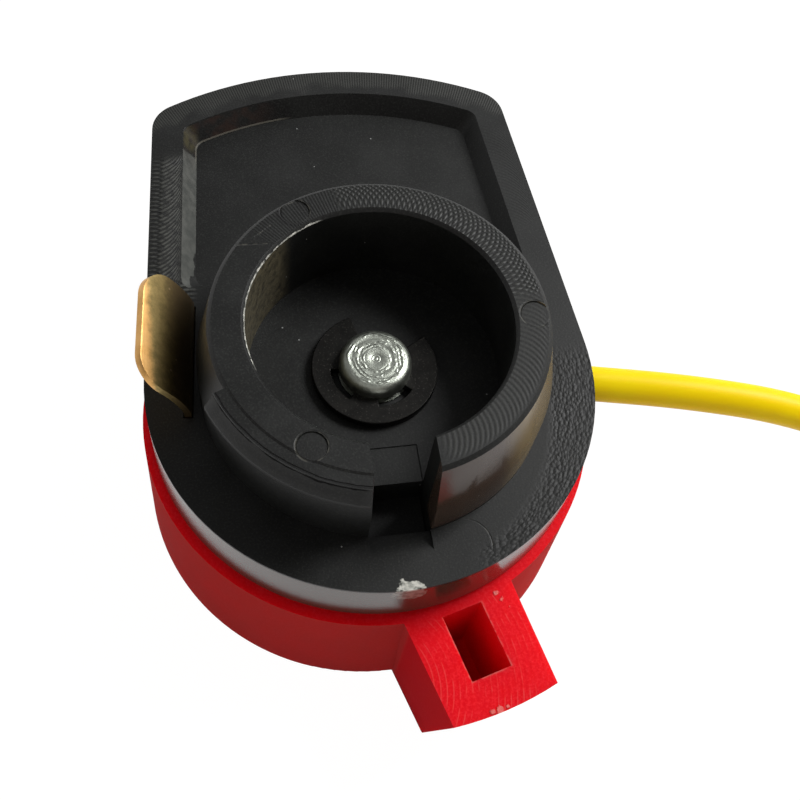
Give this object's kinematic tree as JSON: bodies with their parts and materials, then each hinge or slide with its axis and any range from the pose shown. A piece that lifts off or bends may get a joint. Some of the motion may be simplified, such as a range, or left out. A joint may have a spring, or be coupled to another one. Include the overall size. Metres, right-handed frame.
{
  "type": "engine stop switch",
  "caption": "Panel-mount engine stop switch: black base with a snap-in collar and shield, red knob with a lever that turns between stop and run, brass ground tongue and one lead.",
  "frame": {"origin": "on the knob's pivot axis, at the rear seat face of the base plate, in the middle of the panel collar", "axes": "+Z out of the rear along the pivot and the collar, +Y towards the top of the shield, +X to the right seen from the rear, where the lead leaves"},
  "size_m": [0.1062, 0.0691, 0.025],
  "materials": {
    "black_nylon": "moulded, satin with tool marks",
    "red_plastic": "moulded, semi-gloss",
    "zinc_plated_steel": "turned and zinc plated",
    "blackened_spring_steel": "black oxide",
    "brass_strip": "rolled strip",
    "silver_contact": "pressed",
    "spring_steel": "drawn wire",
    "bearing_steel": "polished",
    "tinned_copper": "stranded",
    "solder": "reflowed",
    "yellow_insulation": "extruded vinyl, semi-gloss",
    "tinned_brass": "tin plated",
    "sleeve_vinyl": "soft vinyl"
  },
  "bodies": {
    "base": {"base_housing": "black_nylon", "ground_contact": "brass_strip", "line_contact": "brass_strip", "conductor_strands": "tinned_copper", "solder_joint": "solder", "lead_wire": "yellow_insulation", "lead_tail": "yellow_insulation", "lead_coil": "yellow_insulation", "bullet_terminal": "tinned_brass", "terminal_sleeve": "sleeve_vinyl"},
    "knob": {"rotary_knob": "red_plastic", "pivot_pin": "zinc_plated_steel", "retaining_clip": "blackened_spring_steel", "contact_bridge": "brass_strip", "bridge_contact_tips": "silver_contact", "contact_spring": "spring_steel", "detent_ball": "bearing_steel", "detent_spring": "spring_steel"}
  },
  "joints": [
    {"name": "knob_turn", "type": "hinge", "parent": "base", "child": "knob", "pos_m": [0, 0, 0], "axis": [0, 0, 1], "range_deg": [-29.5, 0]}
  ]
}
